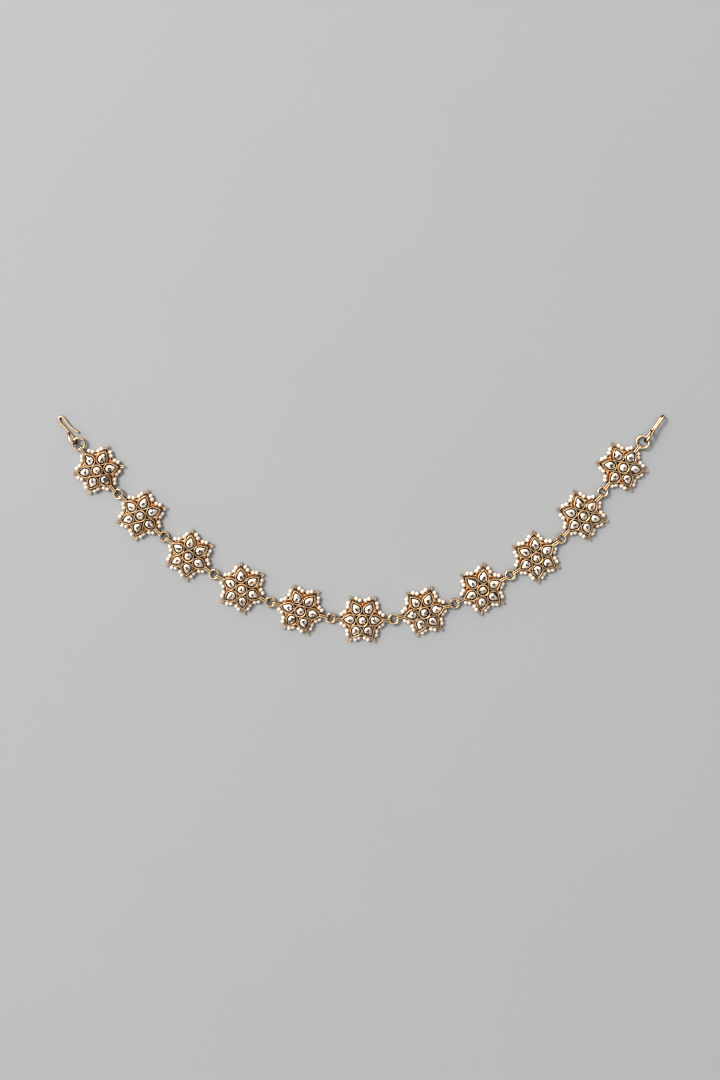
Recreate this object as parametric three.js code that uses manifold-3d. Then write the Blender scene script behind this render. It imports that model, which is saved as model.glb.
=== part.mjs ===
// Matha patti, the Indian chain that is worn along the hairline. Eleven star flowers hang in a row on
// jump rings, with a larger ring and a wire hook at each end. It lies on a table in a hanging curve.
// Millimetres, +X along the row, +Z up, with the origin under the middle of the whole piece.
import * as THREE from 'three';
import { mergeVertices } from 'three/addons/utils/BufferGeometryUtils.js';
import Module from 'manifold-3d';

const wasm = await Module();
wasm.setup();

// The row
const PITCH = 31.1; // from one flower's centre to the next
const MIDDLE = 5; // the place in the row of the flower that hangs lowest
// How each flower lies, in degrees counter-clockwise from +X. turn: its own heading, from bail to bail.
// next: the heading of the line from its centre to the next flower's centre.
const LAY = [
  { turn: -51.5, next: -46.4 },
  { turn: -44, next: -39.9 },
  { turn: -37, next: -32 },
  { turn: -26.5, next: -20.3 },
  { turn: -14.5, next: -8.6 },
  { turn: -1.5, next: 7.2 },
  { turn: 13.2, next: 21 },
  { turn: 26.5, next: 30.9 },
  { turn: 35.2, next: 42 },
  { turn: 47, next: 50.6 },
  { turn: 50.8, next: null },
];

// The flower
const PETALS = 6;
const STEP = 360 / PETALS;
const PLATE = { thick: 1, tip: 10.35, notch: 7.65 }; // the back plate, a star with a tip under each petal
const SEAT = 0.5; // how deep the settings are sunk into the plate
// A petal's setting is a round end with a point: centre and radius of the round end, reach of the point.
const BEZEL = { centre: 6, radius: 2.85, reach: 10.2 };
const STONE = { centre: 6, radius: 2.2, reach: 9.4 };
const PETAL_SIDES = [47, 100, 155]; // corners on each side of the round end, degrees from the point
const PETAL_RIM = { height: 4.2, fall: 0.14, from: 3.15 }; // the rim falls outwards from the middle
const STONE_RISE = 0.45; // the stone's crest over its rim
const HUB = { sides: 8, outer: 2.85, inner: 2.3, floor: 3.7, top: 4.9 }; // the round setting
const HUB_STONE = { radius: 2, bottom: 4, girdle: 4.8, top: 5.6 };

// The bail on each of the two chain tips: a bar out of the setting, and an upright eye at its end
const BAIL = { width: 1.1, root: 9.2, start: 11.75, end: 14.9, bottom: 0.1, bar: 1.8, top: 2.85 };
const BAIL_WALL = { sides: 0.45, inner: 0.45, outer: 0.45 };

// The seed pearls on their wire
const PEARL = { radius: 0.98, height: 1.15, sides: 5 };
const PEARL_PLACES = [
  { along: 8.8, aside: -3.4 },
  { along: 10.35, aside: -2.3 },
  { along: 10.35, aside: 2.3 },
  { along: 8.8, aside: 3.4 },
]; // the four pearls round each tip, measured along the tip and aside from it
const NECK = { radius: 0.5, sides: 3 }; // where two pearls meet
// The bare wire across a notch or a tip. At a tip it leaves each pearl at a distance, leaning outwards.
const WIRE = { radius: 0.3, reach: 1, lean: 0.8 };
const TIP_LOOP = { along: 11.8, radius: 0.8, sides: 4 }; // the wire's own loop at a tip with no bail

// Rings and hooks
const JUMP_RING = { radius: 2.3, wire: 0.45, sides: 4, steps: 10 };
const END_RING = { radius: 3, wire: 0.55, sides: 4, steps: 12 };
const RING_HEIGHT = 1.45; // the middle of a jump ring
const RING_ROLL = 8; // each ring leans to one side, and the next to the other
const END_REACH = 16.2; // from the last flower's centre to the end ring's
// aside: how far the ring lies from the line of the flower's bails. pitch, roll: how the ring leans.
const END_RINGS = {
  left: { flower: 0, aside: -0.5, pitch: -4, roll: 2 },
  right: { flower: 10, aside: -0.2, pitch: -4, roll: -12 },
};
// heading: the way that the hook points. eye, bend: how far its eye and its bend are rolled up from lying
// flat. lift: its height. along, aside: how far it has slipped on its ring.
const HOOKS = {
  left: { heading: 130.5, eye: 115, bend: 0, lift: 0.575, along: -0.3, aside: 0.1 },
  right: { heading: 54.3, eye: 88, bend: 86, lift: 0.66, along: -0.4, aside: -0.45 },
};
const END_RING_HEIGHT = 1.75;
const HOOK = { wire: 0.575, sides: 5 };
// The hook's wire, from the ring's centre outwards: along the hook, and out from its shank.
const HOOK_EYE = [
  { along: 7.6, out: 0 },
  { along: 4.8, out: 0.1 },
  { along: 2.4, out: 0.15 },
  { along: 1.35, out: 1.55 },
  { along: 2.3, out: 3.1 },
  { along: 4.6, out: 3.15 },
  { along: 6.9, out: 1.5 },
];
const HOOK_BEND = [
  { along: 7.3, out: 0 },
  { along: 11, out: 0 },
  { along: 14.9, out: -0.05 },
  { along: 16.4, out: 0.45 },
  { along: 16.85, out: 1.35 },
  { along: 16.2, out: 2.35 },
  { along: 14.5, out: 2.5 },
  { along: 9.6, out: 2.3 },
  { along: 7, out: 2.9 },
  { along: 4.9, out: 3.5 },
];
const HOOK_STEPS = { eye: 10, bend: 9 };

const GOLD = new THREE.MeshStandardMaterial({
  color: 0xc8965a,
  roughness: 0.35,
  metalness: 1,
  flatShading: true,
});
const CRYSTAL = new THREE.MeshStandardMaterial({
  color: 0xe9e4ea,
  roughness: 0.06,
  metalness: 0,
  flatShading: true,
});
const NACRE = new THREE.MeshStandardMaterial({
  color: 0xf4e7dc,
  roughness: 0.28,
  metalness: 0,
  flatShading: true,
});

const radians = THREE.MathUtils.degToRad;

// The point at a distance and a heading from the origin, at a height.
function polar(distance, degrees, height = 0) {
  const angle = radians(degrees);
  return new THREE.Vector3(distance * Math.cos(angle), distance * Math.sin(angle), height);
}

// A closed solid through rings of points. Each ring runs counter-clockwise seen from the end of the loft,
// and may have its own number of points, with one point for an apex. A closed loft joins last to first.
function loft(rings, closed = false) {
  const starts = [];
  let total = 0;
  for (const ring of rings) {
    starts.push(total);
    total += ring.length;
  }
  const corner = (ring, i) => starts[ring] + (i % rings[ring].length);
  const faces = [];
  const bands = closed ? rings.length : rings.length - 1;
  for (let low = 0; low < bands; low++) {
    const high = (low + 1) % rings.length;
    const m = rings[low].length > 1 ? rings[low].length : 0;
    const n = rings[high].length > 1 ? rings[high].length : 0;
    let i = 0;
    let j = 0;
    while (i < m || j < n) {
      if (j === n || (i < m && (i + 1) * n <= (j + 1) * m)) {
        faces.push(corner(low, i), corner(low, i + 1), corner(high, j));
        i += 1;
      } else {
        faces.push(corner(low, i), corner(high, j + 1), corner(high, j));
        j += 1;
      }
    }
  }
  if (!closed) {
    const last = rings.length - 1;
    for (let i = 1; i < rings[0].length - 1; i++) {
      faces.push(corner(0, 0), corner(0, i + 1), corner(0, i));
    }
    for (let i = 1; i < rings[last].length - 1; i++) {
      faces.push(corner(last, 0), corner(last, i), corner(last, i + 1));
    }
  }
  const geometry = new THREE.BufferGeometry().setFromPoints(rings.flat());
  geometry.setIndex(faces);
  return geometry;
}

// The corners of a regular outline round +Z.
function disc(sides, radius, height) {
  return Array.from({ length: sides }, (_, i) => polar(radius, ((i + 0.5) * 360) / sides, height));
}

// The corners of a section across a wire, round the direction in which the wire runs.
function section(centre, direction, side, radius, sides) {
  const up = new THREE.Vector3().crossVectors(direction, side);
  return Array.from({ length: sides }, (_, i) => {
    const angle = radians((i * 360) / sides);
    return centre
      .clone()
      .addScaledVector(side, radius * Math.cos(angle))
      .addScaledVector(up, radius * Math.sin(angle));
  });
}

// A wire of one thickness along a curve.
function wireAlong(curve, radius, sides, steps, closed) {
  const frames = curve.computeFrenetFrames(steps, closed);
  const count = closed ? steps : steps + 1;
  const rings = Array.from({ length: count }, (_, i) =>
    section(curve.getPointAt(i / steps), frames.tangents[i], frames.normals[i], radius, sides),
  );
  return loft(rings, closed);
}

function solidOf(geometry) {
  const bare = geometry.clone();
  bare.deleteAttribute('normal');
  bare.deleteAttribute('uv');
  const merged = mergeVertices(bare, 1e-4);
  return new wasm.Manifold(
    new wasm.Mesh({
      numProp: 3,
      vertProperties: merged.getAttribute('position').array,
      triVerts: new Uint32Array(merged.getIndex().array),
    }),
  );
}

// Several closed shapes soldered into one.
function soldered(geometries) {
  const whole = geometries.map(solidOf).reduce((joined, piece) => joined.add(piece));
  const { numProp, numVert, vertProperties, triVerts } = whole.getMesh();
  const points = [];
  for (let i = 0; i < numVert; i++) {
    points.push(new THREE.Vector3(...vertProperties.subarray(i * numProp, i * numProp + 3)));
  }
  const geometry = new THREE.BufferGeometry().setFromPoints(points);
  geometry.setIndex(Array.from(triVerts));
  return geometry;
}

function backPlate() {
  const star = new THREE.Shape();
  for (let i = 0; i < 2 * PETALS; i++) {
    const corner = polar(i % 2 ? PLATE.notch : PLATE.tip, (i * STEP) / 2);
    if (i === 0) star.moveTo(corner.x, corner.y);
    else star.lineTo(corner.x, corner.y);
  }
  return new THREE.ExtrudeGeometry(star, { depth: PLATE.thick, bevelEnabled: false });
}

// The corners of a petal's outline, from its point round the round end, each at the height given for it.
function petalOutline({ centre, radius, reach }, heightAt) {
  const angles = [...PETAL_SIDES, ...PETAL_SIDES.map((side) => -side).reverse()];
  const round = angles.map((angle) => polar(radius, angle).add(new THREE.Vector3(centre, 0, 0)));
  return [new THREE.Vector3(reach, 0, 0), ...round].map((point) => point.setZ(heightAt(point.x)));
}

// A petal: its setting's wall, the rim round the stone, and the stone's crest.
function petal(index) {
  const rim = (along) => PETAL_RIM.height - PETAL_RIM.fall * (along - PETAL_RIM.from);
  const crest = new THREE.Vector3(STONE.centre, 0, rim(STONE.centre) + STONE_RISE);
  const shape = loft([
    petalOutline(BEZEL, () => PLATE.thick - SEAT),
    petalOutline(BEZEL, rim),
    petalOutline(STONE, rim),
    [crest],
  ]);
  return shape.rotateZ(radians(index * STEP));
}

function hub() {
  return loft([
    disc(HUB.sides, HUB.outer, PLATE.thick - SEAT),
    disc(HUB.sides, HUB.outer, HUB.top),
    disc(HUB.sides, HUB.inner, HUB.top),
    disc(HUB.sides, HUB.inner, HUB.floor),
  ]);
}

// A bail, drawn from its side and extruded across its width. It points along +X, or turned by half a turn.
function bail(turn) {
  const profile = new THREE.Shape([
    new THREE.Vector2(BAIL.root, BAIL.bar),
    new THREE.Vector2(BAIL.start, BAIL.bar),
    new THREE.Vector2(BAIL.start, BAIL.bottom),
    new THREE.Vector2(BAIL.end, BAIL.bottom),
    new THREE.Vector2(BAIL.end, BAIL.top),
    new THREE.Vector2(BAIL.root, BAIL.top),
  ]);
  const hole = [
    new THREE.Vector2(BAIL.start + BAIL_WALL.inner, BAIL.bottom + BAIL_WALL.sides),
    new THREE.Vector2(BAIL.start + BAIL_WALL.inner, BAIL.top - BAIL_WALL.sides),
    new THREE.Vector2(BAIL.end - BAIL_WALL.outer, BAIL.top - BAIL_WALL.sides),
    new THREE.Vector2(BAIL.end - BAIL_WALL.outer, BAIL.bottom + BAIL_WALL.sides),
  ];
  profile.holes.push(new THREE.Path(hole));
  return new THREE.ExtrudeGeometry(profile, { depth: BAIL.width, bevelEnabled: false })
    .translate(0, 0, -BAIL.width / 2)
    .rotateX(radians(90))
    .rotateZ(radians(turn));
}

function flowerSetting() {
  const petals = Array.from({ length: PETALS }, (_, index) => petal(index));
  return soldered([backPlate(), ...petals, hub(), bail(0), bail(180)]);
}

function hubStone() {
  return loft([
    disc(HUB.sides, HUB_STONE.radius, HUB_STONE.bottom),
    disc(HUB.sides, HUB_STONE.radius, HUB_STONE.girdle),
    [new THREE.Vector3(0, 0, HUB_STONE.top)],
  ]);
}

// The border of seed pearls: a closed wire that swells into each pearl. It passes under the bail at the
// two chain tips, and makes a small loop at each of the other four.
function pearlBorder() {
  const centres = [];
  for (let tip = 0; tip < PETALS; tip++) {
    for (const { along, aside } of PEARL_PLACES) {
      const centre = new THREE.Vector3(along, aside, PEARL.height);
      centres.push(centre.applyAxisAngle(new THREE.Vector3(0, 0, 1), radians(tip * STEP)));
    }
  }
  const level = new THREE.Vector3(0, 0, 1);
  const across = (centre, direction, radius, sides) => {
    const heading = direction.clone().normalize();
    const side = new THREE.Vector3().crossVectors(heading, level);
    return section(centre, heading, side, radius, sides);
  };
  const rings = [];
  centres.forEach((centre, i) => {
    const before = centres.at(i - 1);
    const after = centres[(i + 1) % centres.length];
    const bend = new THREE.Vector3().subVectors(after, before);
    const onward = new THREE.Vector3().subVectors(after, centre);
    rings.push(across(centre, bend, PEARL.radius, PEARL.sides));
    const tip = (i - 1) / PEARL_PLACES.length; // a whole number where the wire crosses a tip
    if (!Number.isInteger(tip)) {
      const middle = new THREE.Vector3().lerpVectors(centre, after, 0.5);
      const atNotch = (i + 1) % PEARL_PLACES.length === 0;
      rings.push(across(middle, onward, atNotch ? WIRE.radius : NECK.radius, NECK.sides));
      return;
    }
    const outwards = polar(1, tip * STEP);
    const leave = onward.clone().normalize().addScaledVector(outwards, WIRE.lean).setLength(WIRE.reach);
    const arrive = onward.clone().normalize().addScaledVector(outwards, -WIRE.lean).setLength(WIRE.reach);
    rings.push(across(centre.clone().add(leave), onward, WIRE.radius, NECK.sides));
    if (tip % (PETALS / 2) !== 0) {
      const loop = outwards.clone().multiplyScalar(TIP_LOOP.along).setZ(PEARL.height);
      rings.push(across(loop, onward, TIP_LOOP.radius, TIP_LOOP.sides));
    }
    rings.push(across(after.clone().sub(arrive), onward, WIRE.radius, NECK.sides));
  });
  return loft(rings, true);
}

function ring({ radius, wire, sides, steps }) {
  return new THREE.TorusGeometry(radius, wire, sides, steps).rotateZ(Math.PI / steps);
}

// The hook: a closed eye for the end ring, and a long narrow hook with its free end turned outwards.
function hook({ eye, bend }) {
  const rolled = (degrees) => ({ along, out }) => {
    const { x, y } = polar(out, degrees);
    return new THREE.Vector3(along, -x, y);
  };
  const eyeRoute = new THREE.CatmullRomCurve3(HOOK_EYE.map(rolled(eye)), true);
  const bendRoute = new THREE.CatmullRomCurve3(HOOK_BEND.map(rolled(bend)), false);
  return soldered([
    wireAlong(eyeRoute, HOOK.wire, HOOK.sides, HOOK_STEPS.eye, true),
    wireAlong(bendRoute, HOOK.wire, HOOK.sides, HOOK_STEPS.bend, false),
  ]);
}

function piece(name, geometry, material) {
  const shaded = geometry.clone();
  shaded.computeVertexNormals();
  const mesh = new THREE.Mesh(shaded, material);
  mesh.name = name;
  return mesh;
}

// The centres of the flowers, worked outwards from the middle of the row.
function flowerCentres() {
  const centres = LAY.map(() => new THREE.Vector3());
  for (let i = MIDDLE; i < LAY.length - 1; i++) {
    centres[i + 1].copy(centres[i]).add(polar(PITCH, LAY[i].next));
  }
  for (let i = MIDDLE; i > 0; i--) {
    centres[i - 1].copy(centres[i]).sub(polar(PITCH, LAY[i - 1].next));
  }
  return centres;
}

const number = (i) => String(i + 1).padStart(2, '0');

const row = new THREE.Group();
const centres = flowerCentres();
const shapes = {
  setting: flowerSetting(),
  border: pearlBorder(),
  stone: hubStone(),
  jumpRing: ring(JUMP_RING),
  endRing: ring(END_RING),
};

LAY.forEach(({ turn }, i) => {
  const flower = new THREE.Group();
  flower.position.copy(centres[i]);
  flower.rotation.z = radians(turn);
  flower.add(
    piece(`flower_setting_${number(i)}`, shapes.setting, GOLD),
    piece(`centre_stone_${number(i)}`, shapes.stone, CRYSTAL),
    piece(`pearl_border_${number(i)}`, shapes.border, NACRE),
  );
  row.add(flower);
});

for (let i = 0; i < LAY.length - 1; i++) {
  const reach = centres[i].clone().add(polar(PITCH / 2, LAY[i].turn));
  const nextReach = centres[i + 1].clone().sub(polar(PITCH / 2, LAY[i + 1].turn));
  const link = new THREE.Group();
  link.position.lerpVectors(reach, nextReach, 0.5).setZ(RING_HEIGHT);
  link.rotation.z = radians(LAY[i].next);
  const jumpRing = piece(`jump_ring_${number(i)}`, shapes.jumpRing, GOLD);
  jumpRing.rotation.x = radians(i % 2 ? -RING_ROLL : RING_ROLL);
  link.add(jumpRing);
  row.add(link);
}

for (const side of ['left', 'right']) {
  const { flower, aside, pitch, roll } = END_RINGS[side];
  const outwards = LAY[flower].turn + (side === 'left' ? 180 : 0);
  const centre = centres[flower].clone();
  centre.add(polar(END_REACH, outwards)).add(polar(aside, outwards + 90));
  const end = new THREE.Group();
  end.position.copy(centre);
  end.rotation.z = radians(HOOKS[side].heading);
  const endRing = piece(`end_ring_${side}`, shapes.endRing, GOLD);
  endRing.position.z = END_RING_HEIGHT;
  endRing.rotation.set(radians(roll), radians(pitch), 0);
  const endHook = piece(`hook_${side}`, hook(HOOKS[side]), GOLD);
  endHook.position.set(HOOKS[side].along, HOOKS[side].aside, HOOKS[side].lift);
  end.add(endRing, endHook);
  row.add(end);
}

// The frame's origin is the middle of the underside of the whole piece.
const box = new THREE.Box3().setFromObject(row, true);
const middle = box.getCenter(new THREE.Vector3());
row.position.set(-middle.x, -middle.y, -box.min.z);

const mathaPatti = new THREE.Group();
mathaPatti.add(row);
export default mathaPatti;
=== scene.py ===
"""Dresses the matha patti: star flowers with foiled stones and seed pearls, joined by jump rings.

Every length is in metres. A flower is made lying flat round the origin, with its bails along X, and is
then copied to each place in the row.
"""

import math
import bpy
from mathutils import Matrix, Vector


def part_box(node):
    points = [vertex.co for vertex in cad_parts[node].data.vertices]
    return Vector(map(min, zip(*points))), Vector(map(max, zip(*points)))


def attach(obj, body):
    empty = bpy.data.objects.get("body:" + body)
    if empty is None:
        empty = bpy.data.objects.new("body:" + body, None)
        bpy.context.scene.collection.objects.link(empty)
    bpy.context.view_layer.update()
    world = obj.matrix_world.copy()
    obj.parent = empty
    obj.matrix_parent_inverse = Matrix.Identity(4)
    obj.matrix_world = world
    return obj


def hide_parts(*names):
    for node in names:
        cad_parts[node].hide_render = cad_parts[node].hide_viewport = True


bl_info = {
    "name": "Matha Patti",
    "version": (1, 0, 0),
    "blender": (4, 5, 0),
    "location": "View3D > Sidebar > Matha Patti",
    "description": "Makes a hairline chain of star flowers in antique gold, foiled stones and seed pearls",
    "category": "Object",
}

from collections import namedtuple

import bmesh
import bpy
import numpy as np
from mathutils import Matrix, Vector

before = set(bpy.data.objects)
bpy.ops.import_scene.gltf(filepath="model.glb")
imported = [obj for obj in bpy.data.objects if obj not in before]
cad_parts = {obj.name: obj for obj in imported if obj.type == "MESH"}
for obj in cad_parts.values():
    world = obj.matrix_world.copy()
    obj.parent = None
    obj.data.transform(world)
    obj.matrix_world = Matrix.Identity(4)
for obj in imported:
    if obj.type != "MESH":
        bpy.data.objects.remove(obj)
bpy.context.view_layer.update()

MM = 0.001
BODY = "root"
FLOWERS = range(1, 12)
LINKS = range(1, 11)

# The flower: petals round a middle, with a bail at the first petal's tip and at the one opposite.
PETALS = 6
STEP = 2 * math.pi / PETALS
BAIL_TIPS = (0, PETALS // 2)
PLATE = {"thick": 1.0 * MM, "tip": 10.35 * MM, "notch": 7.95 * MM, "corners": 72}
RIM = {"height": 4.2 * MM, "fall": 0.14, "start": 3.15 * MM}
# A petal's outline: a round end, two full sides and a tip. It is given for the stone, and grows outwards.
PEAR = {"centre": 6.0 * MM, "radius": 1.9 * MM, "reach": 9.0 * MM, "stretch": 1.27, "tip": 0.2 * MM}
PEAR_FULLNESS = 0.12 * MM
PEAR_POINTS = {"round": 30, "side": 8, "tip": 6}

# Sections of the metalwork, from the outside in. out: how far outside the stone's outline or the plate's
# edge. up: height over the surface, or over the rim. patina and shade: 0 for bright gold to 1 for black,
# partly the oxide in the hollows and partly painted shade in recesses, between parts and low on the walls.
Band = namedtuple("Band", "out up patina")
PETAL_SECTION = [
    Band(0.97 * MM, -3.4 * MM, 1.0),
    Band(0.97 * MM, -2.0 * MM, 0.7),
    Band(0.96 * MM, -1.0 * MM, 0.3),
    Band(0.95 * MM, -0.40 * MM, 0.0),
    Band(0.92 * MM, -0.15 * MM, 0.0),
    Band(0.86 * MM, -0.04 * MM, 0.0),
    Band(0.76 * MM, 0.0 * MM, 0.0),
    Band(0.67 * MM, -0.05 * MM, 0.0),
    Band(0.60 * MM, -0.18 * MM, 0.0),
    Band(0.56 * MM, -0.45 * MM, 1.0),
    Band(-0.05 * MM, -0.95 * MM, 1.0),
    Band(-0.60 * MM, -0.98 * MM, 1.0),
]
# The round middle setting, as distance from its axis and height over the surface, with patina and painted
# shade darker low on its outer wall and black on the ledge round its stone.
MIDDLE_SECTION = [
    Band(2.86 * MM, 0.6 * MM, 0.8),
    Band(2.85 * MM, 2.6 * MM, 0.5),
    Band(2.98 * MM, 3.7 * MM, 0.1),
    Band(3.00 * MM, 4.45 * MM, 0.0),
    Band(2.92 * MM, 4.78 * MM, 0.0),
    Band(2.75 * MM, 4.90 * MM, 0.0),
    Band(2.56 * MM, 4.80 * MM, 0.0),
    Band(2.45 * MM, 4.58 * MM, 0.1),
    Band(2.40 * MM, 4.20 * MM, 1.0),
    Band(1.70 * MM, 3.95 * MM, 1.0),
    Band(1.20 * MM, 3.92 * MM, 1.0),
]
# The back plate, with a thin flange that stands out under the pearls, near black as painted shade between
# plate and pearls; the plate darkens towards the middle from patina and painted shade between the petals.
PLATE_SECTION = [
    Band(0.80 * MM, 0.0 * MM, 1.0),
    Band(0.84 * MM, 0.03 * MM, 0.8),
    Band(0.78 * MM, 0.05 * MM, 0.75),
    Band(0.12 * MM, 0.06 * MM, 1.0),
    Band(0.05 * MM, 0.35 * MM, 0.7),
    Band(0.06 * MM, 0.75 * MM, 0.0),
    Band(0.0 * MM, 0.98 * MM, 0.0),
    Band(-0.16 * MM, 1.04 * MM, 0.0),
    Band(-0.40 * MM, 0.96 * MM, 0.1),
    Band(-1.30 * MM, 0.92 * MM, 0.4),
    Band(-2.60 * MM, 0.90 * MM, 0.7),
    Band(-4.00 * MM, 0.90 * MM, 1.0),
]
GRANULE = {"reach": 7.5 * MM, "height": 1.35 * MM, "around": 14, "bands": 9}

# The stones. inset: how far a petal stone lies inside its outline. under: its girdle under the rim. aside:
# its highest point from the petal's centre. gloom: how many of its facets look dark, painted dark as a
# painted reflection.
PETAL_STONE = {"inset": 0.12 * MM, "under": 0.3 * MM, "aside": 0.25 * MM, "crest": 0.75 * MM, "gloom": 0.12}
MIDDLE_STONE = {"radius": 1.76 * MM, "corners": 14, "girdle": 4.65 * MM, "crest": 0.95 * MM, "gloom": 0.2}
# Rings of facet corners in a stone's crown: how many, their share of its width and of its height, how loose.
CROWN = ((7, 0.68, 0.62, 0.08), (5, 0.36, 0.93, 0.22))

# The bails: two wires side by side, out of the petal's tip, over, down and back into an upright eye.
BAIL_ROUTE = [
    (9.2, 2.1),
    (10.3, 2.4),
    (12.0, 2.52),
    (13.6, 2.58),
    (14.38, 2.3),
    (14.6, 1.5),
    (14.38, 0.66),
    (13.5, 0.38),
    (12.5, 0.48),
    (12.05, 1.1),
    (11.92, 1.9),
    (11.45, 2.3),
]
BAIL_WIRE = {"radius": 0.30 * MM, "apart": 0.45 * MM}
BAIL_REACH = 14 * MM  # only the bails lie further than this from the flower's middle
# A sheet between each bail's two wires, painted black as the shade in their gap: start, end, low and high
# edge, half width.
BAIL_SHADE_SHEET = {"start": 9.3 * MM, "end": 11.9 * MM, "low": 1.85 * MM, "high": 2.28 * MM, "half": 0.32 * MM}

# The pearls round each tip, along the tip and aside from it, and the wire's way from pearl to pearl.
PEARL_PLACES = [(8.8, -3.4), (10.35, -2.3), (10.35, 2.3), (8.8, 3.4)]
PEARL_HEIGHT = 1.15 * MM
PEARL_RINGS = {"around": 12, "bands": 7, "hole": 0.17, "hole_depth": 0.16}
WIRE_UNDER_BAIL = [(10.95, -1.1, 1.05), (11.15, 0.0, 0.95), (10.95, 1.1, 1.05)]
WIRE_LOOP = [
    (10.95, -1.15, 1.15),
    (11.1, -0.66, 1.15),
    (11.5, -0.50, 1.2),
    (12.3, -0.48, 1.3),
    (12.75, -0.30, 1.3),
    (12.9, 0.0, 1.3),
    (12.75, 0.30, 1.3),
    (12.3, 0.48, 1.3),
    (11.5, 0.50, 1.2),
    (11.1, 0.66, 1.15),
    (10.95, 1.15, 1.15),
]
# The hook's wire, from the ring's centre outwards: along the hook, and out from its shank.
HOOK_EYE = [(7.6, 0), (4.8, 0.1), (2.4, 0.15), (1.35, 1.55), (2.3, 3.1), (4.6, 3.15), (6.9, 1.5)]
HOOK_BEND = [
    (7.3, 0),
    (11, 0),
    (14.9, -0.05),
    (16.4, 0.45),
    (16.85, 1.35),
    (16.2, 2.35),
    (14.5, 2.5),
    (9.6, 2.3),
    (7, 2.9),
    (4.9, 3.5),
]
# How each hook lies: the way that it points, how far its eye and its bend are rolled up, and its slip.
Lay = namedtuple("Lay", "heading eye bend along aside lift")
HOOKS = {
    "left": Lay(heading=130.5, eye=115, bend=0, along=-0.3 * MM, aside=0.1 * MM, lift=0.575 * MM),
    "right": Lay(heading=54.3, eye=88, bend=86, along=-0.4 * MM, aside=-0.45 * MM, lift=0.66 * MM),
}
RING_SEAM = math.radians(4)

# Where the camera stands over the piece, and the height and middle of what it sees of the table.
NADIR = (-0.56 * MM, 78.15 * MM)
VIEW_MIDDLE = -6.11 * MM
VIEW_SIZE = 540 * MM
# The way to the key light, and its distance.
KEY_SIDE = tuple(Vector((-0.60, 0.42, 0.68)).normalized())
KEY_AWAY = 2.9
KEY_SIZE = 0.7
# The room's greys, over the strength of its light, and the table's half width and height.
ROOM = {"dark": 0.05, "wall": 1.0, "ceiling": 0.62, "glow": 3.2}
TABLE = {"half": 1.5, "height": -0.02 * MM}


# ---------------------------------------------------------------- node trees

class Field:
    """A node's output that can be used in sums and products."""

    def __init__(self, graph, socket):
        self.graph = graph
        self.socket = socket

    def _math(self, operation, a, b):
        return self.graph.node("ShaderNodeMath", {"operation": operation}, {0: a, 1: b})

    def __add__(self, other):
        return self._math("ADD", self, other)

    def __sub__(self, other):
        return self._math("SUBTRACT", self, other)

    def __rsub__(self, other):
        return self._math("SUBTRACT", other, self)

    def __mul__(self, other):
        return self._math("MULTIPLY", self, other)

    def __truediv__(self, other):
        return self._math("DIVIDE", self, other)

    __radd__ = __add__
    __rmul__ = __mul__

    def smooth(self, low, high):
        """0 under low, 1 over high, and a smooth step between them."""
        settings = {"interpolation_type": "SMOOTHSTEP"}
        values = {"Value": self, "From Min": low, "From Max": high}
        return self.graph.node("ShaderNodeMapRange", settings, values)


class Graph:
    """A node tree that is being built."""

    def __init__(self, tree):
        self.tree = tree

    def node(self, kind, settings=None, values=None, output=0):
        """A new node: its settings first, then the values or links of its sockets."""
        made = self.tree.nodes.new(kind)
        for name, value in (settings or {}).items():
            setattr(made, name, value)
        for key, value in (values or {}).items():
            if isinstance(value, Field):
                self.tree.links.new(value.socket, made.inputs[key])
            else:
                made.inputs[key].default_value = value
        return Field(self, made.outputs[output])

    def mix(self, factor, a, b):
        """Colour a where the factor is 0, and b where it is 1."""
        return self.node("ShaderNodeMix", {"data_type": "RGBA"}, {0: factor, 6: a, 7: b}, 2)

    def attribute(self, name):
        """A number that is stored on the mesh."""
        return self.node("ShaderNodeAttribute", {"attribute_name": name}, output="Fac")

    def noise(self, scale, detail=2.0):
        """Smooth noise in the piece's own space, from 0 to 1, with a pattern of 1 / scale metres."""
        place = self.node("ShaderNodeTexCoord", output="Object")
        values = {"Vector": place, "Scale": scale, "Detail": detail, "Roughness": 0.5}
        return self.node("ShaderNodeTexNoise", {}, values)

    def axis(self, vector, name):
        """One part of a vector."""
        return self.node("ShaderNodeSeparateXYZ", {}, {"Vector": vector}, name)


def geometry_tree(name, inputs):
    """A geometry tree with a geometry input and the named ones, as its graph and its input fields."""
    tree = bpy.data.node_groups.new(name, "GeometryNodeTree")
    tree.interface.new_socket("Geometry", in_out="OUTPUT", socket_type="NodeSocketGeometry")
    tree.interface.new_socket("Geometry", in_out="INPUT", socket_type="NodeSocketGeometry")
    for label, kind in inputs.items():
        tree.interface.new_socket(label, in_out="INPUT", socket_type=f"NodeSocket{kind}")
    graph = Graph(tree)
    group = tree.nodes.new("NodeGroupInput")
    fields = {socket.name: Field(graph, socket) for socket in group.outputs if socket.name}
    return graph, fields


def close_tree(graph, geometry, material):
    """Ends a geometry tree: smooth faces, real geometry and its material."""
    smooth = graph.node("GeometryNodeSetShadeSmooth", {}, {"Geometry": geometry})
    real = graph.node("GeometryNodeRealizeInstances", {}, {"Geometry": smooth})
    clad = graph.node("GeometryNodeSetMaterial", {}, {"Geometry": real, "Material": material})
    out = graph.tree.nodes.new("NodeGroupOutput")
    graph.tree.links.new(clad.socket, out.inputs["Geometry"])
    return graph.tree


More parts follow.
